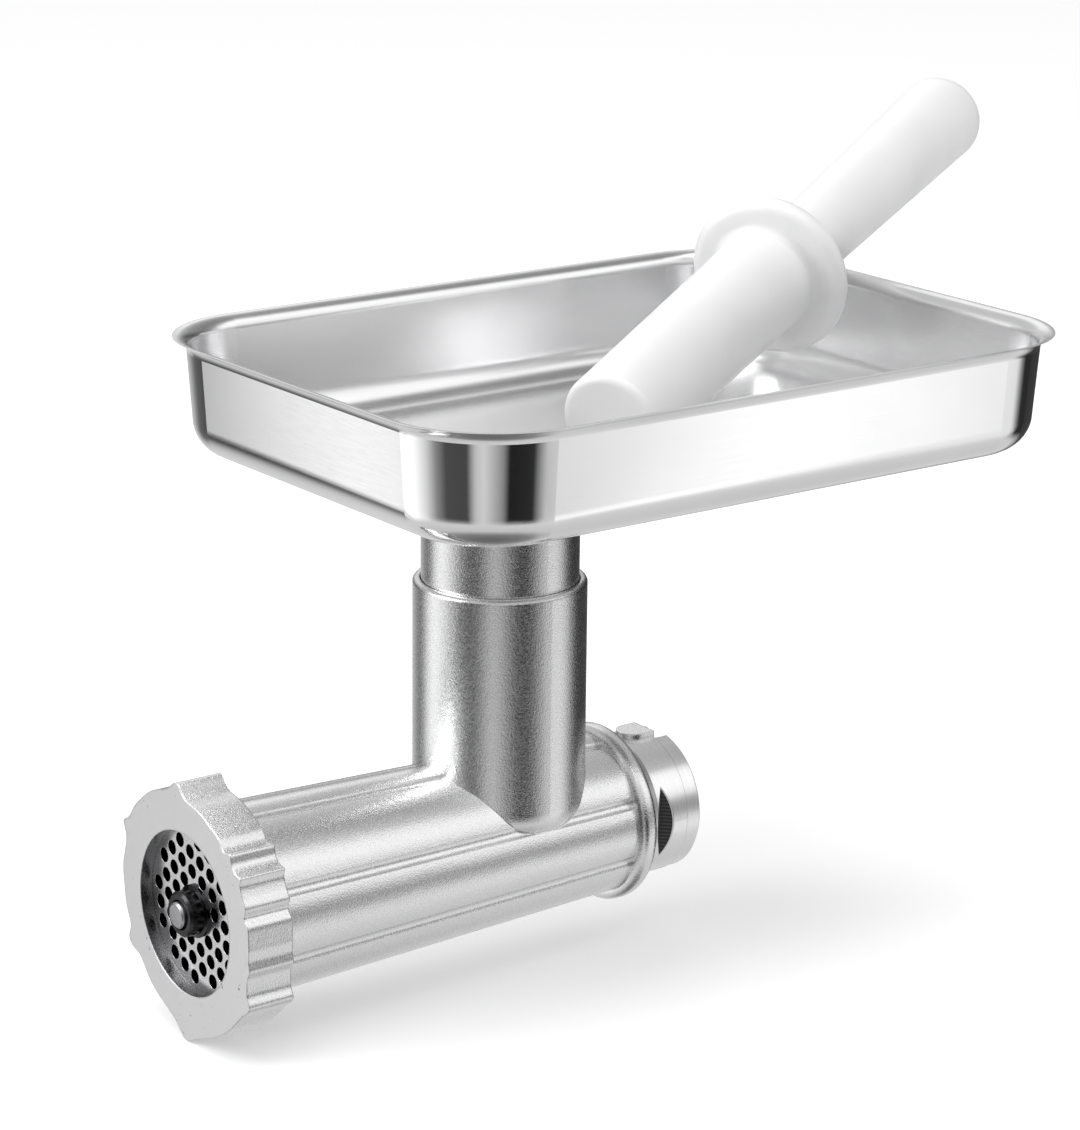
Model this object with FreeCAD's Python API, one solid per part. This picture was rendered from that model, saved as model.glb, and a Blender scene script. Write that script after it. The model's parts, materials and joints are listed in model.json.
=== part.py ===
"""Meat grinding head: barrel casting, cutting set, auger, feed tube, tray and pestle.

Millimetres. The barrel lies along Y with the cutting end towards -Y and the drive spigot
towards +Y, and +Z is up. The origin is on the barrel axis, at the rear end of the drive
spigot.
"""
import FreeCAD, Part
import math
import os

Vector = FreeCAD.Vector
X_AXIS = Vector(1, 0, 0)
Y_AXIS = Vector(0, 1, 0)
Z_AXIS = Vector(0, 0, 1)
ORIGIN = Vector(0, 0, 0)

# ---- Driving dimensions: head casting
NECK_Y = -75.0              # axis of the feed neck
NECK_R = 32.0
NECK_TOP = 100.5
NECK_EDGE_R = 1.6           # rounding of the neck's top edge
NECK_FOOT_R = 12.0          # rounding of its foot, where the neck meets the barrel's sides
NECK_FOOT_Z = 6.0
BARREL_FRONT = -198.0       # fluted body, front end
BARREL_REAR = -30.0         # inside the flange
BARREL_FRONT_R = 36.0       # crest radius of the flutes
BARREL_REAR_R = 31.1
FLUTE_DEPTH = 0.9           # how far the lobes' ends lie inside their crests
GROOVE_HALF_WIDTH = 2.3     # rounded groove between two lobes
GROOVE_DEPTH = 1.1
FLUTE_ANGLES = (75, 23, -21, -65, -115, -159, -203, -255)
BORE_R = 26.0
BORE_GROOVE_COUNT = 6       # grooves along the bore that stop the meat turning
BORE_GROOVE_WIDTH = 5.0
BORE_GROOVE_DEPTH = 1.2
CHAMBER_R = 31.5            # room for the knife
CHAMBER_DEPTH = 13.0
COLLAR_R = 37.9             # outside of the threaded collar under the ring nut
REAR_WALL_FRONT = -38.0
REAR_WALL_BACK = -21.5
FLANGE_FACE = -25.0         # rear face of the flange
FLANGE_R = 34.0
FLANGE_WIDTH = 8.0
FLANGE_ROUND = 3.2
SPIGOT_R = 27.0             # seating land, at the rear end
SPIGOT_ROOT_R = 27.4
SPIGOT_BORE_R = 21.0
SPIGOT_RAMP_R = 28.4        # machined ramp where the spigot meets the flange
SPIGOT_RAMP_LEN = 5.0
LUG_HALF_WIDTH = 6.1        # cast key on top of the spigot, round at its front end
LUG_FRONT = -18.6
LUG_END = -6.6              # the slot behind the key is cut from here to the rear end
LUG_TOP = 29.2
NOTCH_Y = -17.0             # locking notch on the +X side: a right-angled V across the spigot
NOTCH_DEPTH = 3.8

# ---- Driving dimensions: cutting set
PLATE_FRONT = -206.0
PLATE_THICK = 7.0
PLATE_R = 34.75
PLATE_HOLE_R = 2.65
PLATE_PITCH = 7.1
PLATE_ROW_ANGLE = 10.0      # the hole pattern's turn about the hub
PLATE_HOLES_FROM = 12.0     # radii between which hole centres lie
PLATE_HOLES_TO = 26.0
HUB_R = 8.3
HUB_BORE_R = 5.5
HUB_PROUD = 7.0
HUB_FOOT_R = 9.6
RING_FRONT = -211.0
RING_REAR = -193.0
RING_OPENING_R = 30.0
RING_THREAD_R = 38.5
# Outline of the ring nut seen from the front, as (degrees from +X, radius): broad gripping lands
# with low ridges between them.
RING_OUTLINE = (
    (0, 42.4), (8, 42.6), (12, 42.4), (15.5, 41.2), (19.5, 43.1), (24, 42.8), (28, 42.8), (31, 43.4),
    (33.5, 45.0), (36, 43.4), (39, 42.5), (42, 42.8), (45.5, 44.2), (49, 41.6), (55, 42.2), (63, 42.2),
    (73, 42.5), (82, 42.6), (88, 43.2), (90.5, 44.6), (93.5, 47.4), (97, 47.2), (101, 45.4), (106, 44.4),
    (116, 44.8), (128, 44.6), (140, 44.7), (147, 45.1), (151, 46.6), (155, 43.6), (163, 41.9), (174, 42.1),
    (184, 41.3), (196, 41.1), (205, 41.4), (209, 44.2), (213, 44.0), (218, 41.3), (228, 40.9), (241, 41.6),
    (254, 42.1), (262, 44.2), (267, 47.0), (271, 48.1), (276, 46.6), (285, 45.0), (297, 44.6), (309, 44.6),
    (319, 44.9), (326, 45.9), (330.5, 47.3), (333.5, 47.4), (336.5, 44.6), (340, 43.4), (346, 42.7),
    (350, 43.4), (353, 42.4))
KEY_R = 1.5
KEY_CENTRE_R = 33.4

# ---- Driving dimensions: auger and drive
PIN_R = 4.8
PIN_FRONT = -214.5
KNIFE_SQUARE = 12.0
KNIFE_R = 29.5
KNIFE_THICK = 9.0
AUGER_FRONT = -187.5
AUGER_REAR = -40.0
AUGER_CORE_R = 12.5
AUGER_R = 25.2
AUGER_PITCH = 37.0
FLIGHT_THICK = 5.0
FLIGHT_DRAFT = 0.6          # the flight is thicker at its foot and thinner at its crest by this
STUD_ROOT_R = 5.0           # threaded root of the front pin, plain here
STUD_ROOT_LEN = 20.0
SHANK_R = 9.0
SHANK_ROOT_R = 7.5          # the end held inside the auger
CROSS_PIN_R = 2.5
SHANK_EMBED = 34.0
SHANK_REAR = -4.0
SHANK_FLATS = 12.0
FLATS_START = -20.0
BUSH_OUT_R = 14.0
BUSH_CLEARANCE = 0.05
SEAL_FRONT = -28.0
SEAL_REAR = -23.0

# ---- Driving dimensions: feed tube, tray, pestle
TUBE_R = 29.0
TUBE_BORE_R = 26.0
TUBE_SEAT_Z = 60.0
TUBE_FLANGE_R = 38.0
TUBE_FLANGE_THICK = 4.0
TRAY_BOTTOM = 141.5
TRAY_RIM_Z = 185.2
TRAY_HALF_X = 105.5         # to the outside of the rim
TRAY_Y_MIN = -167.4
TRAY_Y_MAX = 121.4
TRAY_SHEET = 1.0
TRAY_CORNER_R = 36.0        # outer corner radius at the floor
TRAY_TAPER = 1.8            # how far the wall leans out over its height
TRAY_FLARE = 5.2
TRAY_FLARE_H = 5.0
TRAY_EDGE = 0.7             # width of the rim's flat top edge
TRAY_FLOOR_ROUND = 13.0
COLLAR_SLEEVE_R = 25.6
COLLAR_SLEEVE_THICK = 1.0
COLLAR_SLEEVE_LEN = 14.0
PESTLE_TIP_R = 18.6
PESTLE_BODY_R = 20.2
PESTLE_COLLAR_R = 32.0
PESTLE_HANDLE_R = 14.6
PESTLE_END_R = 18.0
PESTLE_COLLAR_AT = 134.5
PESTLE_COLLAR_THICK = 10.0
PESTLE_LEN = 322.0
PESTLE_FOOT = Vector(33.7, -52.4, 161.6)   # centre of the lower end
PESTLE_HEADING = 115.4      # degrees from +X
PESTLE_RISE = 12.2          # degrees above level


def cylinder_y(radius, start, end, x=0.0, z=0.0):
    """A cylinder along Y from start to end."""
    return Part.makeCylinder(radius, end - start, Vector(x, start, z), Y_AXIS)


def tube_y(outer, inner, start, end):
    """A tube along Y; the bore runs right through."""
    return cylinder_y(outer, start, end).cut(cylinder_y(inner, start - 1, end + 1))


def polar(radius, degrees, y):
    """A point at a radius and an angle about the barrel axis."""
    angle = math.radians(degrees)
    return Vector(radius * math.cos(angle), y, radius * math.sin(angle))


def polygon_face(points):
    return Part.Face(Part.makePolygon(points + points[:1]))


def revolve_y(profile):
    """Turn (radius, y) points about the barrel axis into a solid."""
    face = polygon_face([Vector(radius, y, 0) for radius, y in profile])
    return face.revolve(ORIGIN, Y_AXIS, 360)


def box(x_range, y_range, z_range):
    low = Vector(x_range[0], y_range[0], z_range[0])
    size = (x_range[1] - x_range[0], y_range[1] - y_range[0], z_range[1] - z_range[0])
    return Part.makeBox(size[0], size[1], size[2], low)


def fuse_all(solids):
    first = solids[0]
    return first.fuse(solids[1:]).removeSplitter()


# ---- Head casting

def flute_wire(crest_r, y):
    """One cross-section of the fluted barrel: rounded lobes with a small round groove between them."""
    crease_r = crest_r - FLUTE_DEPTH
    groove = math.degrees(GROOVE_HALF_WIDTH / crease_r)
    edges = []
    for index, centre in enumerate(FLUTE_ANGLES):
        last = index == len(FLUTE_ANGLES) - 1
        following = FLUTE_ANGLES[0] - 360 if last else FLUTE_ANGLES[index + 1]
        before = polar(crease_r, centre + groove, y)
        start = polar(crease_r, centre - groove, y)
        crest = polar(crest_r, (centre + following) / 2, y)
        end = polar(crease_r, following + groove, y)
        edges.append(Part.Arc(before, polar(crease_r - GROOVE_DEPTH, centre, y), start).toShape())
        edges.append(Part.Arc(start, crest, end).toShape())
    return Part.Wire(edges)


def fluted_barrel():
    wires = [flute_wire(BARREL_FRONT_R, BARREL_FRONT), flute_wire(BARREL_REAR_R, BARREL_REAR)]
    return Part.makeLoft(wires, True, True)


def neck():
    post = Part.makeCylinder(NECK_R, NECK_TOP - NECK_FOOT_Z, Vector(0, NECK_Y, NECK_FOOT_Z), Z_AXIS)
    top_edges = [edge for edge in post.Edges if edge.BoundBox.ZMin > NECK_TOP - 0.1]
    foot_edges = [edge for edge in post.Edges if edge.BoundBox.ZMax < NECK_FOOT_Z + 0.1]
    return post.makeFillet(NECK_EDGE_R, top_edges).makeFillet(NECK_FOOT_R, foot_edges)


def rear_flange():
    rim = cylinder_y(FLANGE_R, FLANGE_FACE - FLANGE_WIDTH, FLANGE_FACE)
    rim_edges = [edge for edge in rim.Edges if edge.Closed and len(edge.Vertexes) == 1]
    return rim.makeFillet(FLANGE_ROUND, rim_edges)


def spigot():
    chamfer = 0.6
    base = FLANGE_FACE - 2
    profile = [(0, base), (SPIGOT_RAMP_R, base), (SPIGOT_RAMP_R, FLANGE_FACE + 1),
               (SPIGOT_ROOT_R, FLANGE_FACE + SPIGOT_RAMP_LEN), (SPIGOT_ROOT_R, LUG_END), (SPIGOT_R, LUG_END),
               (SPIGOT_R, -chamfer), (SPIGOT_R - chamfer, 0), (0, 0)]
    body = revolve_y(profile)
    lug_centre = LUG_FRONT + LUG_HALF_WIDTH
    lug = box((-LUG_HALF_WIDTH, LUG_HALF_WIDTH), (lug_centre, LUG_END), (20, LUG_TOP))
    lug_nose = Part.makeCylinder(LUG_HALF_WIDTH, LUG_TOP - 20, Vector(0, lug_centre, 20), Z_AXIS)
    slot = box((-LUG_HALF_WIDTH, LUG_HALF_WIDTH), (LUG_END, 1), (10, LUG_TOP + 1))
    notch_floor = SPIGOT_ROOT_R - NOTCH_DEPTH
    reach = NOTCH_DEPTH + 2
    wedge = polygon_face([Vector(notch_floor, NOTCH_Y, -20),
                          Vector(notch_floor + reach, NOTCH_Y - reach, -20),
                          Vector(notch_floor + reach, NOTCH_Y + reach, -20)]).extrude(Vector(0, 0, 40))
    return body.fuse([lug, lug_nose]).cut([wedge, slot])


def bore_grooves():
    """Straight grooves along the wall of the bore."""
    grooves = []
    for index in range(BORE_GROOVE_COUNT):
        reach = BORE_R + BORE_GROOVE_DEPTH
        half = BORE_GROOVE_WIDTH / 2
        bar = box((10, reach), (PLATE_FRONT, REAR_WALL_FRONT - 8), (-half, half))
        bar.rotate(ORIGIN, Y_AXIS, 360 * index / BORE_GROOVE_COUNT + 15)
        grooves.append(bar)
    return grooves


def head_casting():
    plate_rear = PLATE_FRONT + PLATE_THICK
    mouth = PLATE_FRONT + 1.5
    outside = fuse_all([fluted_barrel(), cylinder_y(COLLAR_R, mouth, BARREL_FRONT + 0.5), neck(),
                        cylinder_y(BARREL_REAR_R - 1.6, BARREL_REAR - 3, FLANGE_FACE - FLANGE_WIDTH + 2),
                        rear_flange(), spigot()])
    recess = cylinder_y(PLATE_R + 0.3, mouth - 1, plate_rear)
    chamber = cylinder_y(CHAMBER_R, plate_rear - 1, plate_rear + CHAMBER_DEPTH)
    cone = revolve_y([(0, plate_rear + CHAMBER_DEPTH - 0.5), (CHAMBER_R, plate_rear + CHAMBER_DEPTH - 0.5),
                      (BORE_R, plate_rear + CHAMBER_DEPTH + 5), (0, plate_rear + CHAMBER_DEPTH + 5)])
    bore = cylinder_y(BORE_R, plate_rear, REAR_WALL_FRONT)
    feed = Part.makeCylinder(TUBE_BORE_R, NECK_TOP, Vector(0, NECK_Y, 0), Z_AXIS)
    socket = Part.makeCylinder(TUBE_R + 0.4, NECK_TOP, Vector(0, NECK_Y, TUBE_SEAT_Z), Z_AXIS)
    bush_seat = cylinder_y(BUSH_OUT_R, REAR_WALL_FRONT - 1, REAR_WALL_BACK + 1)
    spigot_bore = cylinder_y(SPIGOT_BORE_R, REAR_WALL_BACK, 1)
    ring_groove = cylinder_y(BUSH_OUT_R + 1.4, SEAL_REAR, SEAL_REAR + 1.3)
    key_seat = cylinder_y(KEY_R, plate_rear - 1, plate_rear + 8, 0, -KEY_CENTRE_R)
    hollows = [recess, chamber, cone, bore, feed, socket, bush_seat, spigot_bore, ring_groove, key_seat]
    return outside.cut(hollows + bore_grooves())


# ---- Cutting set

def ring_nut():
    outline = Part.BSplineCurve()
    outline.interpolate(Points=[polar(radius, angle, RING_FRONT) for angle, radius in RING_OUTLINE],
                        PeriodicFlag=True)
    blank = Part.Face(Part.Wire([outline.toShape()])).extrude(Vector(0, RING_REAR - RING_FRONT, 0))
    opening = cylinder_y(RING_OPENING_R, RING_FRONT - 1, RING_REAR + 1)
    thread_bore = cylinder_y(RING_THREAD_R, PLATE_FRONT, RING_REAR + 1)
    return blank.cut([opening, thread_bore])


def plate_hole_centres():
    """Close-packed holes, centred on the hub and clear of it and of the rim."""
    turn = math.radians(PLATE_ROW_ANGLE)
    reach = int(PLATE_HOLES_TO / PLATE_PITCH) + 2
    centres = []
    for row in range(-reach, reach + 1):
        for column in range(-2 * reach, 2 * reach + 1):
            across = row * PLATE_PITCH * math.sqrt(3) / 2
            along = (column + 0.5 * (row % 2)) * PLATE_PITCH
            x = across * math.cos(turn) - along * math.sin(turn)
            z = across * math.sin(turn) + along * math.cos(turn)
            if PLATE_HOLES_FROM < math.hypot(x, z) < PLATE_HOLES_TO:
                centres.append((x, z))
    return centres


def grinding_plate():
    rear = PLATE_FRONT + PLATE_THICK
    disc = cylinder_y(PLATE_R, PLATE_FRONT, rear)
    cutters = [cylinder_y(PLATE_HOLE_R, PLATE_FRONT - 1, rear + 1, x, z) for x, z in plate_hole_centres()]
    cutters.append(cylinder_y(HUB_R - 1.3, PLATE_FRONT - 1, rear + 1))
    cutters.append(cylinder_y(KEY_R + 0.4, PLATE_FRONT - 1, rear + 1, 0, -KEY_CENTRE_R))
    notch_half = KEY_R + 0.4
    cutters.append(box((-notch_half, notch_half), (PLATE_FRONT - 1, rear + 1), (-PLATE_R - 1, -KEY_CENTRE_R)))
    return disc.cut(cutters)


def plate_hub():
    """Hardened bush pressed into the plate, standing proud as a dark collar."""
    front = PLATE_FRONT - HUB_PROUD
    edge = 0.9
    rear = PLATE_FRONT + PLATE_THICK
    profile = [(HUB_BORE_R, front), (HUB_R - edge, front), (HUB_R, front + edge), (HUB_R, PLATE_FRONT - 1.6),
               (HUB_FOOT_R, PLATE_FRONT - 1.2), (HUB_FOOT_R, PLATE_FRONT), (HUB_R - 1.3, PLATE_FRONT),
               (HUB_R - 1.3, rear), (HUB_BORE_R, rear)]
    return revolve_y(profile)


def plate_key():
    return cylinder_y(KEY_R, PLATE_FRONT + 2, PLATE_FRONT + PLATE_THICK + 8, 0, -KEY_CENTRE_R)


def knife():
    """Four swept blades around a square hub."""
    front = PLATE_FRONT + PLATE_THICK + 0.2
    hub = cylinder_y(12.5, front, front + KNIFE_THICK)
    blades = [hub]
    for index in range(4):
        points = [Vector(6, front, -5), Vector(KNIFE_R - 1, front, -1.5), Vector(KNIFE_R, front, 3.0),
                  Vector(20, front, 5.5), Vector(6, front, 7.5)]
        blade = polygon_face(points).extrude(Vector(0, KNIFE_THICK * 0.55, 0))
        blade.rotate(ORIGIN, Y_AXIS, 90 * index)
        blades.append(blade)
    half = KNIFE_SQUARE / 2 + 0.05
    return fuse_all(blades).cut(box((-half, half), (front - 1, front + KNIFE_THICK + 1), (-half, half)))


# ---- Auger and drive

def knife_stud():
    """Front pin of the auger: journal for the plate hub, square for the knife, threaded root."""
    square_front = PLATE_FRONT + PLATE_THICK + 0.4
    half = KNIFE_SQUARE / 2
    edge = 0.7
    journal = revolve_y([(0, PIN_FRONT), (PIN_R - edge, PIN_FRONT), (PIN_R, PIN_FRONT + edge),
                         (PIN_R, square_front + 0.5), (0, square_front + 0.5)])
    square = box((-half, half), (square_front, AUGER_FRONT), (-half, half))
    root = cylinder_y(STUD_ROOT_R, AUGER_FRONT - 0.5, AUGER_FRONT + STUD_ROOT_LEN)
    return fuse_all([journal, square, root])


def auger_flight():
    """One helical flight, swept as a thick strip around the core."""
    run = AUGER_REAR - AUGER_FRONT - FLIGHT_THICK - 2
    helix = Part.makeHelix(AUGER_PITCH, run, AUGER_CORE_R)
    inner = AUGER_CORE_R - 1.5
    foot = FLIGHT_THICK / 2 + FLIGHT_DRAFT
    crest = FLIGHT_THICK / 2 - FLIGHT_DRAFT
    corners = [Vector(inner, 0, -foot), Vector(AUGER_R, 0, -crest), Vector(AUGER_R, 0, crest),
               Vector(inner, 0, foot)]
    strip = Part.makePolygon(corners + corners[:1])
    flight = Part.Wire(helix).makePipeShell([strip], True, True)
    flight.translate(Vector(0, 0, foot + 1.0))
    flight.rotate(ORIGIN, X_AXIS, -90)
    flight.translate(Vector(0, AUGER_FRONT, 0))
    return flight


def auger():
    core = cylinder_y(AUGER_CORE_R, AUGER_FRONT, AUGER_REAR)
    body = core.fuse(auger_flight())
    front_hole = cylinder_y(STUD_ROOT_R, AUGER_FRONT - 1, AUGER_FRONT + STUD_ROOT_LEN)
    rear_hole = cylinder_y(SHANK_ROOT_R, AUGER_REAR - SHANK_EMBED, AUGER_REAR + 1)
    return body.cut([front_hole, rear_hole, shank_pin()])


def shank_pin():
    """The cross pin, whose shape is also its hole through auger and shank."""
    half = AUGER_CORE_R - 0.5
    at = Vector(-half, AUGER_REAR - SHANK_EMBED + 12, 0)
    return Part.makeCylinder(CROSS_PIN_R, 2 * half, at, X_AXIS)


def drive_shank():
    root = cylinder_y(SHANK_ROOT_R, AUGER_REAR - SHANK_EMBED, AUGER_REAR + 1)
    journal = cylinder_y(SHANK_R, AUGER_REAR, SHANK_REAR)
    flats = SHANK_FLATS / 2
    cutters = [box((flats, 20), (FLATS_START, SHANK_REAR + 1), (-20, 20)),
               box((-20, -flats), (FLATS_START, SHANK_REAR + 1), (-20, 20))]
    return fuse_all([root, journal]).cut(cutters + [shank_pin()])


def thrust_washer():
    return tube_y(13.6, SHANK_R + 0.4, REAR_WALL_FRONT - 1.8, REAR_WALL_FRONT)


def rear_bush():
    return tube_y(BUSH_OUT_R, SHANK_R + BUSH_CLEARANCE, REAR_WALL_FRONT, SEAL_FRONT)


def seal_case():
    """Pressed steel case of the shaft seal: an L in section."""
    profile = [(BUSH_OUT_R, SEAL_FRONT), (BUSH_OUT_R, SEAL_REAR), (BUSH_OUT_R - 0.8, SEAL_REAR),
               (BUSH_OUT_R - 0.8, SEAL_FRONT + 0.8), (SHANK_R + 2.2, SEAL_FRONT + 0.8),
               (SHANK_R + 2.2, SEAL_FRONT)]
    return revolve_y(profile)


def seal_lip():
    front = SEAL_FRONT + 0.8
    outer = BUSH_OUT_R - 0.8
    inner = SHANK_R + 0.3
    profile = [(outer, front), (outer, SEAL_REAR), (outer - 1.0, SEAL_REAR), (outer - 1.0, front + 1.0),
               (inner + 1.2, front + 1.0), (inner + 1.2, SEAL_REAR - 0.6), (inner, SEAL_REAR - 1.2),
               (inner + 0.5, front)]
    return revolve_y(profile)


def seal_spring():
    """Garter spring round the lip, as a plain ring."""
    return Part.makeTorus(SHANK_R + 2.3, 0.5, Vector(0, SEAL_REAR - 1.4, 0), Y_AXIS)


def retaining_ring():
    ring = tube_y(BUSH_OUT_R + 1.2, BUSH_OUT_R - 2.2, SEAL_REAR + 0.05, SEAL_REAR + 1.25)
    gap = box((-3.0, 3.0), (SEAL_REAR - 1, SEAL_REAR + 3), (0, 20))
    return ring.cut(gap)


# ---- Feed tube, tray and pestle

def upright_tube(outer, inner, low, high):
    post = Part.makeCylinder(outer, high - low, Vector(0, NECK_Y, low), Z_AXIS)
    return post.cut(Part.makeCylinder(inner, high - low + 2, Vector(0, NECK_Y, low - 1), Z_AXIS))


def feed_tube():
    top = TRAY_BOTTOM - COLLAR_SLEEVE_THICK
    tube = upright_tube(TUBE_R, TUBE_BORE_R, TUBE_SEAT_Z, top)
    flange = upright_tube(TUBE_FLANGE_R, TUBE_BORE_R, top - TUBE_FLANGE_THICK, top)
    return fuse_all([tube, flange])


def tray_collar():
    """Stainless sleeve welded under the tray, which drops into the feed tube."""
    top = TRAY_BOTTOM
    bore_r = COLLAR_SLEEVE_R - COLLAR_SLEEVE_THICK
    sleeve = upright_tube(COLLAR_SLEEVE_R, bore_r, top - COLLAR_SLEEVE_LEN, top)
    flange = upright_tube(TUBE_FLANGE_R, bore_r, top - COLLAR_SLEEVE_THICK, top)
    return fuse_all([sleeve, flange])


def tray_profile(corner_x, corner_y):
    """Section of the sheet from the floor to the rim, at a distance from the corner's centre."""
    def at(radius, z):
        return Vector(corner_x + radius, corner_y, z)

    diagonal = math.sqrt(0.5)
    inner_round = TRAY_FLOOR_ROUND - TRAY_SHEET
    floor_in = TRAY_BOTTOM + TRAY_SHEET
    foot_r = TRAY_CORNER_R - TRAY_FLOOR_ROUND
    foot_z = TRAY_BOTTOM + TRAY_FLOOR_ROUND
    flare_z = TRAY_RIM_Z - TRAY_FLARE_H
    top_r = TRAY_CORNER_R + TRAY_TAPER
    rim_r = top_r + TRAY_FLARE
    rim_in = rim_r - TRAY_EDGE
    bulge_r = top_r + TRAY_FLARE * 0.28
    bulge_z = flare_z + TRAY_FLARE_H * 0.62
    edges = [
        Part.LineSegment(at(0, TRAY_BOTTOM), at(foot_r, TRAY_BOTTOM)),
        Part.Arc(at(foot_r, TRAY_BOTTOM),
                 at(foot_r + TRAY_FLOOR_ROUND * diagonal, foot_z - TRAY_FLOOR_ROUND * diagonal),
                 at(TRAY_CORNER_R, foot_z)),
        Part.LineSegment(at(TRAY_CORNER_R, foot_z), at(top_r, flare_z)),
        Part.Arc(at(top_r, flare_z), at(bulge_r, bulge_z), at(rim_r, TRAY_RIM_Z)),
        Part.LineSegment(at(rim_r, TRAY_RIM_Z), at(rim_in, TRAY_RIM_Z)),
        Part.Arc(at(rim_in, TRAY_RIM_Z), at(bulge_r - TRAY_SHEET, bulge_z + 0.2),
                 at(top_r - TRAY_SHEET, flare_z)),
        Part.LineSegment(at(top_r - TRAY_SHEET, flare_z), at(TRAY_CORNER_R - TRAY_SHEET, foot_z)),
        Part.Arc(at(TRAY_CORNER_R - TRAY_SHEET, foot_z),
                 at(foot_r + inner_round * diagonal, foot_z - inner_round * diagonal),
                 at(foot_r, floor_in)),
        Part.LineSegment(at(foot_r, floor_in), at(0, floor_in)),
        Part.LineSegment(at(0, floor_in), at(0, TRAY_BOTTOM)),
    ]
    return Part.Face(Part.Wire([edge.toShape() for edge in edges]))


def tray_pan():
    reach = TRAY_CORNER_R + TRAY_TAPER + TRAY_FLARE
    core_x = TRAY_HALF_X - reach
    core_y = (TRAY_Y_MIN + reach, TRAY_Y_MAX - reach)
    middle_y = (core_y[0] + core_y[1]) / 2
    half_y = (core_y[1] - core_y[0]) / 2
    pieces = [box((-core_x, core_x), core_y, (TRAY_BOTTOM, TRAY_BOTTOM + TRAY_SHEET))]
    sides = ((core_x, half_y, 0, Vector(-2 * core_x, 0, 0)),
             (-core_x, half_y, 90, Vector(0, -2 * half_y, 0)),
             (-core_x, -half_y, 180, Vector(2 * core_x, 0, 0)),
             (core_x, -half_y, 270, Vector(0, 2 * half_y, 0)))
    for x, y, start, run in sides:
        centre = Vector(x, middle_y + y, 0)
        section = tray_profile(centre.x, centre.y)
        section.rotate(centre, Z_AXIS, start)
        pieces.append(section.revolve(centre, Z_AXIS, 90))
        section.rotate(centre, Z_AXIS, 90)
        pieces.append(section.extrude(run))
    mouth_r = COLLAR_SLEEVE_R - COLLAR_SLEEVE_THICK
    mouth = Part.makeCylinder(mouth_r, 20, Vector(0, NECK_Y, TRAY_BOTTOM - 10), Z_AXIS)
    return fuse_all(pieces).cut(mouth)


def pestle():
    """One moulded piece: tapered ramming end, collar, and a handle that swells to its end."""
    def at(radius, z):
        return Vector(radius, 0, z)

    collar_end = PESTLE_COLLAR_AT + PESTLE_COLLAR_THICK
    tip_round = 3.0
    edge = PESTLE_COLLAR_THICK / 2
    end_round = 11.0
    diagonal = math.sqrt(0.5)
    end_centre_r = PESTLE_END_R - end_round
    end_centre_z = PESTLE_LEN - end_round
    edges = [
        Part.LineSegment(at(0, 0), at(PESTLE_TIP_R - tip_round, 0)),
        Part.Arc(at(PESTLE_TIP_R - tip_round, 0),
                 at(PESTLE_TIP_R - tip_round * (1 - diagonal), tip_round * (1 - diagonal)),
                 at(PESTLE_TIP_R, tip_round)),
        Part.LineSegment(at(PESTLE_TIP_R, tip_round), at(PESTLE_BODY_R, PESTLE_COLLAR_AT - 3)),
        Part.Arc(at(PESTLE_BODY_R, PESTLE_COLLAR_AT - 3), at(PESTLE_BODY_R + 0.9, PESTLE_COLLAR_AT - 0.9),
                 at(PESTLE_BODY_R + 3, PESTLE_COLLAR_AT)),
        Part.LineSegment(at(PESTLE_BODY_R + 3, PESTLE_COLLAR_AT),
                         at(PESTLE_COLLAR_R - edge, PESTLE_COLLAR_AT)),
        Part.Arc(at(PESTLE_COLLAR_R - edge, PESTLE_COLLAR_AT), at(PESTLE_COLLAR_R, PESTLE_COLLAR_AT + edge),
                 at(PESTLE_COLLAR_R - edge, collar_end)),
        Part.LineSegment(at(PESTLE_COLLAR_R - edge, collar_end), at(PESTLE_HANDLE_R + 6, collar_end)),
        Part.Arc(at(PESTLE_HANDLE_R + 6, collar_end), at(PESTLE_HANDLE_R + 1.8, collar_end + 1.8),
                 at(PESTLE_HANDLE_R, collar_end + 6)),
        Part.LineSegment(at(PESTLE_HANDLE_R, collar_end + 6), at(PESTLE_END_R, end_centre_z)),
        Part.Arc(at(PESTLE_END_R, end_centre_z),
                 at(end_centre_r + end_round * diagonal, end_centre_z + end_round * diagonal),
                 at(end_centre_r, PESTLE_LEN)),
        Part.LineSegment(at(end_centre_r, PESTLE_LEN), at(0, PESTLE_LEN)),
        Part.LineSegment(at(0, PESTLE_LEN), at(0, 0)),
    ]
    solid = Part.Face(Part.Wire([edge.toShape() for edge in edges])).revolve(ORIGIN, Z_AXIS, 360)
    solid.rotate(ORIGIN, Y_AXIS, 90 - PESTLE_RISE)
    solid.rotate(ORIGIN, Z_AXIS, PESTLE_HEADING)
    solid.translate(PESTLE_FOOT)
    return solid


NODES = {
    "head_casting": head_casting,
    "ring_nut": ring_nut,
    "grinding_plate": grinding_plate,
    "plate_hub": plate_hub,
    "plate_key": plate_key,
    "knife": knife,
    "knife_stud": knife_stud,
    "auger": auger,
    "drive_shank": drive_shank,
    "shank_pin": shank_pin,
    "thrust_washer": thrust_washer,
    "rear_bush": rear_bush,
    "seal_case": seal_case,
    "seal_lip": seal_lip,
    "seal_spring": seal_spring,
    "retaining_ring": retaining_ring,
    "feed_tube": feed_tube,
    "tray_collar": tray_collar,
    "tray_pan": tray_pan,
    "pestle": pestle,
}


def main():
    os.makedirs("parts", exist_ok=True)
    for name, make in NODES.items():
        shape = make()
        state = "valid" if shape.isValid() else "INVALID"
        print(name, state, len(shape.Solids), "solid", round(shape.Volume))
        shape.exportStep("parts/" + name + ".step")


main()
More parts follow.
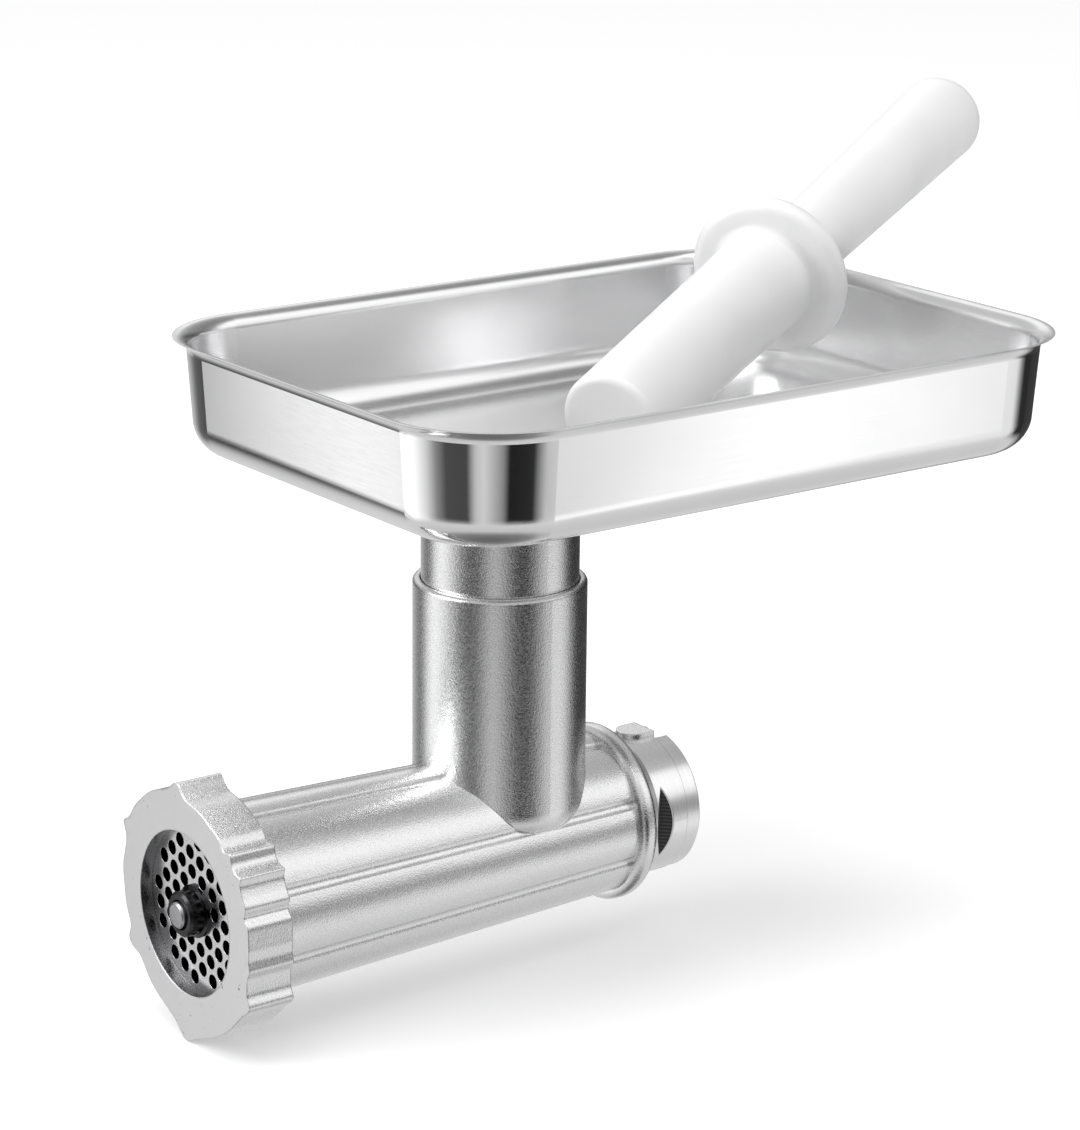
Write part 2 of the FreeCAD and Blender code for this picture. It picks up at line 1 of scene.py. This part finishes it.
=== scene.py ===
"""The looks of the meat grinding head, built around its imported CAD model.

Metres, in the CAD model's frame: the barrel lies along Y with the cutting end towards -Y,
+Z is up, and the origin is on the barrel axis at the rear end of the drive spigot.
"""

import json
import math

import bpy
from mathutils import Matrix, Vector


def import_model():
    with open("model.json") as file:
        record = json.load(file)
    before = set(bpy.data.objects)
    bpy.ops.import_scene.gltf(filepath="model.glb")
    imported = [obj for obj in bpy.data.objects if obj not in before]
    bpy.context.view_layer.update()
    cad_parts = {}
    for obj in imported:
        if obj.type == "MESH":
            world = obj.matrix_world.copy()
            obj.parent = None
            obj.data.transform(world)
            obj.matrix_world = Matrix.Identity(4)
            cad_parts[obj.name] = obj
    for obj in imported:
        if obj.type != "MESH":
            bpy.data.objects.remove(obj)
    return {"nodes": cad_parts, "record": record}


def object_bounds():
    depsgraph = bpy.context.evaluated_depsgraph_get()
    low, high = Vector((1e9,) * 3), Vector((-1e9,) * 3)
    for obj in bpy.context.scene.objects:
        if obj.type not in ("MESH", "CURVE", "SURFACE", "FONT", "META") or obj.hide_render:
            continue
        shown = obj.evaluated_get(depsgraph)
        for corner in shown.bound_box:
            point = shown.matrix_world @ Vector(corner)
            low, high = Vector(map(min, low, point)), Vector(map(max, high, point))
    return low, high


MM = 0.001

# ---- Places where the finish changes
FLANGE_FACE_Y = -25 * MM        # the machined spigot is behind this face
KEY_HALF_WIDTH = 6.3 * MM       # the spigot's key stays as cast
KEY_FOOT_Z = 26.4 * MM
# The rear wall of the spigot's V-shaped notch is beyond NOTCH_FLOOR_X, inside the radius
# NOTCH_MOUTH_R, and between two places along the barrel.
NOTCH_FLOOR_X = 23.3 * MM
NOTCH_MOUTH_R = 27.05 * MM
NOTCH_FLOOR_Y = -17.0 * MM
NOTCH_REAR_Y = -12.5 * MM
NOTCH_STEP = 0.7 * MM           # half the spacing of the cutter's marks on that wall
RING_FACE_Y = -210.8 * MM       # just behind the ring nut's sanded front face
RING_OPENING_R = 30.3 * MM      # just outside the wall of its opening
PLATE_FACE_Y = -205.9 * MM      # just behind the plate's front face
HOLE_SHADE_TONE = (0.02, 0.02, 0.021)     # painted shade: the dark insides of the plate's holes
TRAY_CENTRE_Y = -23 * MM        # middle of the tray along the barrel
TRAY_INWARD = -0.01             # inner walls are where outwards times facing is below this,
TRAY_UPWARD = 0.7               # and the tray's floor is where the facing's Z is above this
TRAY_INSIDE_ROUGHER = 0.14      # added to the sheet's roughness on the inside of the tray

# ---- Camera: its place, the directions it looks and holds its right-hand side along, its lens
CAMERA_AT = Vector((1.02291, -0.82017, 0.47804))
CAMERA_LOOKS = Vector((-0.76874, 0.57362, -0.28284))
CAMERA_RIGHT = Vector((0.5956, 0.8032, 0.0102))
CAMERA_LENS = 115.47            # millimetres, like the sensor's width
CAMERA_SENSOR = 36.0

# ---- Studio
FLOOR_SIZE = 60.0
FLOOR_GAP = 0.3 * MM            # between the floor and the lowest point of the head
FLOOR_GLOW = 0.28               # light given off by the floor itself
ROOM_STRENGTH = 1.35
# Tones of the room. A heading is in degrees, 0 towards -Y and 90 towards +X, and a height is in
# degrees above the horizon.
ROOM_TONES = (                  # around the horizon, as (heading, tone)
    (-180, 0.03), (-143, 0.05), (-128, 0.50), (-105, 0.50), (-80, 0.12), (-63.5, 0.05), (-61.5, 0.20),
    (-60.0, 0.60), (-58.6, 1.0), (-57.2, 1.0), (-56.7, 0.35), (-55.8, 0.40), (-52, 1.0), (-40, 1.0),
    (-30, 0.80), (-21, 0.60), (-8, 0.22), (4, 0.06), (28, 0.05), (37, 0.45), (46, 0.55), (66, 0.22),
    (73, 0.01), (100, 0.02), (116, 0.45), (129, 0.56), (131, 0.95), (133.5, 0.95), (136, 0.72),
    (152, 0.66), (161, 0.20), (167, 0.02))
HEIGHT_TONES = (                # how much of it is left, as (height, share)
    (-90, 1.0), (-17, 1.0), (-9, 0.45), (4, 0.38), (14, 0.75), (25, 1.0))
UPPER_TONES = (                 # in the upper room, as (heading, tone)
    (-180, 0.16), (-150, 0.24), (-135, 0.40), (-127, 0.80), (-112, 0.80), (-96, 0.45), (-60, 0.45),
    (40, 0.45), (60, 0.55), (112, 0.50), (126, 0.90), (146, 0.95), (157, 0.22), (179, 0.16))
FLOOR_TONES = (                 # on the pale floor, darker straight below, as (height, tone)
    (-90, 0.12), (-68, 0.20), (-56, 0.48), (-30, 0.58))
FLOOR_FROM = -25                # the floor takes over from the walls between these two heights
FLOOR_FULL = -40
UPPER_FROM = 7                  # the upper room takes over between these two
UPPER_FULL = 20
OVERHEAD_FROM = 62              # and the white panel overhead between these two
OVERHEAD_FULL = 80
LIGHTS = (                      # (name, place, point aimed at, width and height, watts)
    ("overhead", (0.3, -0.3, 1.6), (0, -0.1, 0), (1.4, 1.4), 12),
    ("left_panel", (-0.6, -1.5, 0.7), (0, -0.1, 0.05), (0.9, 1.2), 16))


# ---- Shader building

def add_node(tree, kind, inputs=(), **settings):
    """Add a node, set or link its inputs by name or number, and give it back."""
    node = tree.nodes.new(kind)
    for name, value in settings.items():
        setattr(node, name, value)
    for key, value in dict(inputs).items():
        if isinstance(value, bpy.types.NodeSocket):
            tree.links.new(value, node.inputs[key])
        else:
            node.inputs[key].default_value = value
    return node


def maths(tree, operation, first, second=0.0, clamp=False):
    node = add_node(tree, "ShaderNodeMath", {0: first, 1: second}, operation=operation, use_clamp=clamp)
    return node.outputs[0]


def ramp(tree, factor, stops):
    """A greyscale or coloured ramp; stops are (position, grey or colour)."""
    node = add_node(tree, "ShaderNodeValToRGB", {"Fac": factor})
    elements = node.color_ramp.elements
    while len(elements) < len(stops):
        elements.new(1.0)
    for element, (position, tone) in zip(elements, stops):
        element.position = position
        element.color = (tone, tone, tone, 1) if isinstance(tone, (int, float)) else (*tone, 1)
    return node.outputs["Color"]


def remap(tree, value, low, high, to_low=0.0, to_high=1.0):
    """A clamped, smooth step from one range to another."""
    node = add_node(tree, "ShaderNodeMapRange",
                    {"Value": value, "From Min": low, "From Max": high, "To Min": to_low, "To Max": to_high},
                    interpolation_type="SMOOTHSTEP")
    return node.outputs["Result"]


def noise(tree, vector, scale, detail=2.0, roughness=0.5):
    node = add_node(tree, "ShaderNodeTexNoise",
                    {"Vector": vector, "Scale": scale, "Detail": detail, "Roughness": roughness})
    return node.outputs["Fac"]


def stretched(tree, vector, scale):
    """The same coordinates squeezed by a factor along each axis."""
    return add_node(tree, "ShaderNodeVectorMath", {0: vector, 1: scale}, operation="MULTIPLY").outputs[0]


def mix_value(tree, factor, first, second):
    node = add_node(tree, "ShaderNodeMix", {0: factor, 2: first, 3: second}, data_type="FLOAT")
    return node.outputs[0]


def mix_colour(tree, factor, first, second):
    node = add_node(tree, "ShaderNodeMix", {0: factor, 6: first, 7: second}, data_type="RGBA")
    return node.outputs[2]


def bump(tree, height, distance, strength=1.0, normal=None):
    inputs = {"Height": height, "Distance": distance, "Strength": strength}
    if normal is not None:
        inputs["Normal"] = normal
    return add_node(tree, "ShaderNodeBump", inputs).outputs["Normal"]


def bevel(tree, radius):
    """A normal that rounds every edge of the mesh by the radius."""
    return add_node(tree, "ShaderNodeBevel", {"Radius": radius}, samples=6).outputs["Normal"]


def new_material(name, metallic=1.0):
    """A material with an empty Principled shader; returns (material, tree, shader, coordinates)."""
    material = bpy.data.materials.new(name)
    material.use_nodes = True
    tree = material.node_tree
    shader = tree.nodes["Principled BSDF"]
    shader.inputs["Metallic"].default_value = metallic
    place = tree.nodes.new("ShaderNodeTexCoord").outputs["Object"]
    return material, tree, shader, place


def connect(tree, shader, **sockets):
    """Link or set the shader's sockets; underscores stand for spaces."""
    for name, value in sockets.items():
        socket = shader.inputs[name.replace("_", " ")]
        if isinstance(value, bpy.types.NodeSocket):
            tree.links.new(value, socket)
        else:
            socket.default_value = value


# ---- Materials

def distance_from_axis(tree, across):
    """How far a point is from the barrel axis."""
    squares = [maths(tree, "POWER", across[name], 2.0) for name in ("X", "Z")]
    return maths(tree, "SQRT", maths(tree, "ADD", *squares))


def between(tree, value, low, high):
    """1 inside the range and 0 outside it."""
    above = maths(tree, "GREATER_THAN", value, low)
    below = maths(tree, "LESS_THAN", value, high)
    return maths(tree, "MULTIPLY", above, below)


def mix_normal(tree, factor, first, second):
    node = add_node(tree, "ShaderNodeMix", {0: factor, 4: first, 5: second}, data_type="VECTOR")
    return node.outputs[1]


def cast_skin(tree, place, normal):
    """Shot-blasted die casting: (colour, roughness, normal) with sparkling grain, broad waves and painted
    shade in the low points of the grain.
    """
    grain = noise(tree, place, 1600, 2, 0.6)
    fine = noise(tree, place, 2600, 1, 0.5)
    waves = noise(tree, place, 190, 2)
    flecks = noise(tree, place, 1300, 2, 0.6)
    height = maths(tree, "ADD", grain, maths(tree, "MULTIPLY", fine, 0.3))
    surface = bump(tree, waves, 0.06 * MM, 0.6, normal)
    surface = bump(tree, height, 0.09 * MM, 1.0, surface)
    # painted shade: the lowest points of the grain's bump are darkened in the colour
    grain_pit_shade = remap(tree, grain, 0.18, 0.30)
    tone = ramp(tree, flecks, [(0.3, (0.78, 0.78, 0.785)), (0.7, (0.90, 0.90, 0.905))])
    colour = mix_colour(tree, grain_pit_shade, (0.34, 0.34, 0.345, 1), tone)
    rough = remap(tree, flecks, 0.3, 0.75, 0.22, 0.32)
    return colour, rough, surface


def cast_aluminium():
    """The castings: grainy skin, a machined spigot at the rear, and the ring's sanded face."""
    material, tree, shader, place = new_material("cast_aluminium")
    across = add_node(tree, "ShaderNodeSeparateXYZ", {"Vector": place}).outputs
    radius = distance_from_axis(tree, across)
    rounded = bevel(tree, 0.8 * MM)
    colour, rough, normal = cast_skin(tree, place, rounded)

    # turned finish of the spigot: fine rings around the barrel axis
    rings = noise(tree, stretched(tree, place, (40, 9000, 40)), 1.0, 2, 0.6)
    turned_normal = bump(tree, rings, 0.006 * MM, 1.0, bevel(tree, 0.3 * MM))
    turned_rough = remap(tree, rings, 0.3, 0.7, 0.20, 0.30)
    behind = maths(tree, "GREATER_THAN", across["Y"], FLANGE_FACE_Y)
    beside_key = maths(tree, "GREATER_THAN", maths(tree, "ABSOLUTE", across["X"]), KEY_HALF_WIDTH)
    below_key = maths(tree, "LESS_THAN", across["Z"], KEY_FOOT_Z)
    machined = maths(tree, "MULTIPLY", behind, maths(tree, "MAXIMUM", beside_key, below_key))
    colour = mix_colour(tree, machined, colour, (0.86, 0.86, 0.865, 1))
    rough = mix_value(tree, machined, rough, turned_rough)
    normal = mix_normal(tree, machined, normal, turned_normal)

    # the rear wall of the milled notch: painted shade, dark, with the cutter's real steps across it
    in_notch = maths(tree, "MULTIPLY", maths(tree, "GREATER_THAN", across["X"], NOTCH_FLOOR_X),
                     maths(tree, "LESS_THAN", radius, NOTCH_MOUTH_R))
    in_notch = maths(tree, "MULTIPLY", in_notch, between(tree, across["Y"], NOTCH_FLOOR_Y, NOTCH_REAR_Y))
    steps = maths(tree, "PINGPONG", across["Z"], NOTCH_STEP)
    step_and_shade_tone = ramp(tree, maths(tree, "DIVIDE", steps, NOTCH_STEP), [(0.0, 0.03), (1.0, 0.10)])
    colour = mix_colour(tree, in_notch, colour, step_and_shade_tone)

    # the ring's opening is rough and painted dark as shade, and its face is sanded flat with a few pits left
    # in it, painted dark as the shade in them
    in_opening = maths(tree, "MULTIPLY", maths(tree, "LESS_THAN", radius, RING_OPENING_R),
                       maths(tree, "LESS_THAN", across["Y"], PLATE_FACE_Y))
    # painted shade: the wall of the opening is darkened where shade falls inside it
    colour = mix_colour(tree, in_opening, colour, (0.22, 0.22, 0.225, 1))
    sanded = maths(tree, "LESS_THAN", across["Y"], RING_FACE_Y)
    scratches = noise(tree, stretched(tree, place, (1400, 100, 260)), 1.0, 3, 0.7)
    face_pits_and_shade = remap(tree, noise(tree, place, 420, 2, 0.7), 0.24, 0.30)
    # painted shade: the colour is darkened at the low points of the pits, beside their real bump
    sanded_tone_with_pit_shade = mix_colour(tree, face_pits_and_shade, (0.30, 0.30, 0.30, 1), (0.80, 0.80, 0.805, 1))
    face_normal = bump(tree, face_pits_and_shade, 0.25 * MM, 1.0, bump(tree, scratches, 0.02 * MM, 1.0, rounded))
    colour = mix_colour(tree, sanded, colour, sanded_tone_with_pit_shade)
    rough = mix_value(tree, sanded, rough, remap(tree, scratches, 0.3, 0.7, 0.36, 0.50))
    normal = mix_normal(tree, sanded, normal, face_normal)
    connect(tree, shader, Base_Color=colour, Roughness=rough, Normal=normal)
    return material


def stainless():
    """Polished sheet with a faint drawn grain, duller inside the tray."""
    material, tree, shader, place = new_material("stainless")
    from_centre = add_node(tree, "ShaderNodeVectorMath", {0: place, 1: (0, -TRAY_CENTRE_Y, 0)},
                           operation="ADD")
    outwards = stretched(tree, from_centre.outputs[0], (1, 1, 0))
    facing = tree.nodes.new("ShaderNodeNewGeometry").outputs["True Normal"]
    away = add_node(tree, "ShaderNodeVectorMath", {0: outwards, 1: facing}, operation="DOT_PRODUCT")
    facing_z = add_node(tree, "ShaderNodeSeparateXYZ", {"Vector": facing}).outputs["Z"]
    on_wall = maths(tree, "LESS_THAN", away.outputs["Value"], TRAY_INWARD)
    on_floor = maths(tree, "GREATER_THAN", facing_z, TRAY_UPWARD)
    inside = maths(tree, "MAXIMUM", on_wall, on_floor)
    lines = noise(tree, stretched(tree, place, (90, 30, 5200)), 1.0, 3, 0.6)
    cloud = noise(tree, place, 22, 3)
    normal = bump(tree, lines, 0.0035 * MM, 1.0)
    drawn = remap(tree, lines, 0.25, 0.75, 0.05, 0.10)
    rough = maths(tree, "ADD", drawn, maths(tree, "MULTIPLY", cloud, 0.03))
    rough = maths(tree, "ADD", rough, maths(tree, "MULTIPLY", inside, TRAY_INSIDE_ROUGHER))
    colour = ramp(tree, cloud, [(0.3, (0.80, 0.80, 0.805)), (0.7, (0.85, 0.85, 0.855))])
    connect(tree, shader, Base_Color=colour, Roughness=rough, Normal=normal)
    return material


def ground_steel(name, light, dark, roughness, hole_shade=None):
    """Turned steel. hole_shade is (y, tone): behind that y, the colour is painted dark as the shade inside
    the holes.
    """
    material, tree, shader, place = new_material(name)
    across = add_node(tree, "ShaderNodeSeparateXYZ", {"Vector": place}).outputs
    radius = distance_from_axis(tree, across)
    turning = add_node(tree, "ShaderNodeTexNoise",
                       {"W": maths(tree, "MULTIPLY", radius, 5200.0), "Scale": 1.0},
                       noise_dimensions="1D").outputs["Fac"]
    stains = noise(tree, place, 90, 3, 0.6)
    normal = bump(tree, turning, 0.006 * MM, 1.0, bevel(tree, 0.25 * MM))
    rough = remap(tree, stains, 0.25, 0.75, roughness - 0.05, roughness + 0.07)
    colour = ramp(tree, stains, [(0.3, dark), (0.7, light)])
    if hole_shade:
        start, tone = hole_shade
        # painted shade: inside the holes, behind the plate's front face
        colour = mix_colour(tree, maths(tree, "GREATER_THAN", across["Y"], start), colour, (*tone, 1))
    connect(tree, shader, Base_Color=colour, Roughness=rough, Normal=normal)
    return material


def rubber():
    material, tree, shader, place = new_material("seal_rubber", 0.0)
    dust = noise(tree, place, 900, 3)
    colour = ramp(tree, dust, [(0.35, 0.012), (0.7, 0.03)])
    normal = bump(tree, dust, 0.03 * MM)
    connect(tree, shader, Base_Color=colour, Roughness=0.55, Normal=normal)
    return material


def fibre():
    material, tree, shader, place = new_material("fibre_washer", 0.0)
    weave = noise(tree, stretched(tree, place, (700, 200, 1500)), 1.0, 3)
    colour = ramp(tree, weave, [(0.35, (0.66, 0.65, 0.60)), (0.7, (0.80, 0.79, 0.75))])
    normal = bump(tree, weave, 0.05 * MM)
    connect(tree, shader, Base_Color=colour, Roughness=0.6, Normal=normal)
    return material


def bronze():
    material, tree, shader, place = new_material("bronze_bush")
    tone = noise(tree, place, 160, 3)
    lines = noise(tree, stretched(tree, place, (60, 6000, 60)), 1.0, 2)
    colour = ramp(tree, tone, [(0.3, (0.42, 0.25, 0.11)), (0.7, (0.58, 0.37, 0.17))])
    normal = bump(tree, lines, 0.01 * MM)
    connect(tree, shader, Base_Color=colour, Roughness=0.32, Normal=normal)
    return material


def white_plastic():
    """Moulded polyethylene: waxy and slightly translucent, with faint flow marks."""
    material, tree, shader, place = new_material("white_plastic", 0.0)
    flow = noise(tree, place, 35, 3)
    skin = noise(tree, place, 1400, 2)
    colour = ramp(tree, flow, [(0.3, 0.76), (0.7, 0.80)])
    normal = bump(tree, skin, 0.02 * MM, 0.6)
    rough = remap(tree, flow, 0.3, 0.7, 0.36, 0.44)
    shader.inputs["Subsurface Weight"].default_value = 0.45
    shader.inputs["Subsurface Radius"].default_value = (1.0, 0.95, 0.9)
    shader.inputs["Subsurface Scale"].default_value = 4 * MM
    connect(tree, shader, Base_Color=colour, Roughness=rough, Normal=normal)
    return material


def materials_by_slot():
    return {
        "cast_aluminium": cast_aluminium(),
        "cast_auger": ground_steel("cast_auger", (0.66, 0.66, 0.67), (0.52, 0.52, 0.53), 0.42),
        "plate_steel": ground_steel("plate_steel", (0.80, 0.80, 0.81), (0.66, 0.66, 0.67), 0.22,
                                    (PLATE_FACE_Y, HOLE_SHADE_TONE)),
        "dark_steel": ground_steel("dark_steel", (0.055, 0.055, 0.058), (0.022, 0.022, 0.024), 0.20),
        "pin_steel": ground_steel("pin_steel", (0.50, 0.50, 0.51), (0.36, 0.36, 0.37), 0.30),
        "fibre_washer": fibre(),
        "bronze_bush": bronze(),
        "seal_rubber": rubber(),
        "stainless": stainless(),
        "white_plastic": white_plastic(),
    }


def dress(frame):
    """Give every CAD node the finish of its slot in the record."""
    made = materials_by_slot()
    for piece in frame["record"]["subparts"]:
        thing = frame["nodes"][piece["node"]]
        thing.data.materials.clear()
        thing.data.materials.append(made[piece["material_slot"]])


# ---- Studio

def add_floor(lowest):
    bpy.ops.mesh.primitive_plane_add(size=FLOOR_SIZE, location=(0, 0, lowest - FLOOR_GAP))
    floor = bpy.context.object
    floor.name = "floor"
    material, tree, shader, _ = new_material("floor", 0.0)
    connect(tree, shader, Base_Color=(0.9, 0.9, 0.9, 1), Roughness=1.0)
    connect(tree, shader, Emission_Color=(1, 1, 1, 1), Emission_Strength=FLOOR_GLOW)
    shader.inputs["Specular IOR Level"].default_value = 0.0
    floor.data.materials.append(material)
    floor.visible_glossy = False


def sine(degrees):
    return math.sin(math.radians(degrees))


def heading_stops(tones):
    """Ramp stops for tones given by heading."""
    return [(degrees / 360 + 0.5, tone) for degrees, tone in tones]


def height_stops(tones):
    """Ramp stops for tones given by height above the horizon."""
    return [((sine(degrees) + 1) / 2, tone) for degrees, tone in tones]


def add_world():
    """A soft room whose tone depends on the direction: bright panels with dark gaps between them."""
    world = bpy.data.worlds.new("studio")
    bpy.context.scene.world = world
    world.use_nodes = True
    tree = world.node_tree
    direction = tree.nodes.new("ShaderNodeTexCoord").outputs["Generated"]
    part = add_node(tree, "ShaderNodeSeparateXYZ", {"Vector": direction}).outputs
    heading = maths(tree, "ARCTAN2", part["X"], maths(tree, "MULTIPLY", part["Y"], -1))
    turn = maths(tree, "ADD", maths(tree, "DIVIDE", heading, 2 * math.pi), 0.5)
    around = ramp(tree, turn, heading_stops(ROOM_TONES))
    upper = ramp(tree, turn, heading_stops(UPPER_TONES))
    height = maths(tree, "ADD", maths(tree, "MULTIPLY", part["Z"], 0.5), 0.5)
    share = ramp(tree, height, height_stops(HEIGHT_TONES))
    walls = add_node(tree, "ShaderNodeMix", {0: 1.0, 6: around, 7: share},
                     data_type="RGBA", blend_type="MULTIPLY")
    below = remap(tree, part["Z"], sine(FLOOR_FULL), sine(FLOOR_FROM), 1.0, 0.0)
    higher = remap(tree, part["Z"], sine(UPPER_FROM), sine(UPPER_FULL))
    above = remap(tree, part["Z"], sine(OVERHEAD_FROM), sine(OVERHEAD_FULL))
    ground = ramp(tree, height, height_stops(FLOOR_TONES))
    final = mix_colour(tree, below, walls.outputs[2], ground)
    final = mix_colour(tree, higher, final, upper)
    final = mix_colour(tree, above, final, (1, 1, 1, 1))
    background = tree.nodes["Background"]
    tree.links.new(final, background.inputs["Color"])
    background.inputs["Strength"].default_value = ROOM_STRENGTH


def add_light(name, at, aim, size, power):
    data = bpy.data.lights.new(name, "AREA")
    data.shape = "RECTANGLE"
    data.size, data.size_y = size
    data.energy = power
    light = bpy.data.objects.new(name, data)
    bpy.context.scene.collection.objects.link(light)
    light.location = at
    light.rotation_mode = "QUATERNION"
    light.rotation_quaternion = (Vector(aim) - Vector(at)).to_track_quat("-Z", "Y")


def add_lights():
    for light in LIGHTS:
        add_light(*light)


def add_camera():
    data = bpy.data.cameras.new("camera")
    data.lens = CAMERA_LENS
    data.sensor_width = CAMERA_SENSOR
    data.clip_start = 0.05
    data.clip_end = 100
    camera = bpy.data.objects.new("camera", data)
    bpy.context.scene.collection.objects.link(camera)
    back = -CAMERA_LOOKS.normalized()
    right = (CAMERA_RIGHT - back * CAMERA_RIGHT.dot(back)).normalized()
    up = back.cross(right)
    turn = Matrix((right, up, back)).transposed()
    camera.matrix_world = Matrix.Translation(CAMERA_AT) @ turn.to_4x4()
    bpy.context.scene.camera = camera


def main():
    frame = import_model()
    cad_low, cad_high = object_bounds()
    dress(frame)
    add_floor(cad_low.z)
    add_world()
    add_lights()
    add_camera()
    bpy.context.scene.view_settings.view_transform = "Standard"


main()
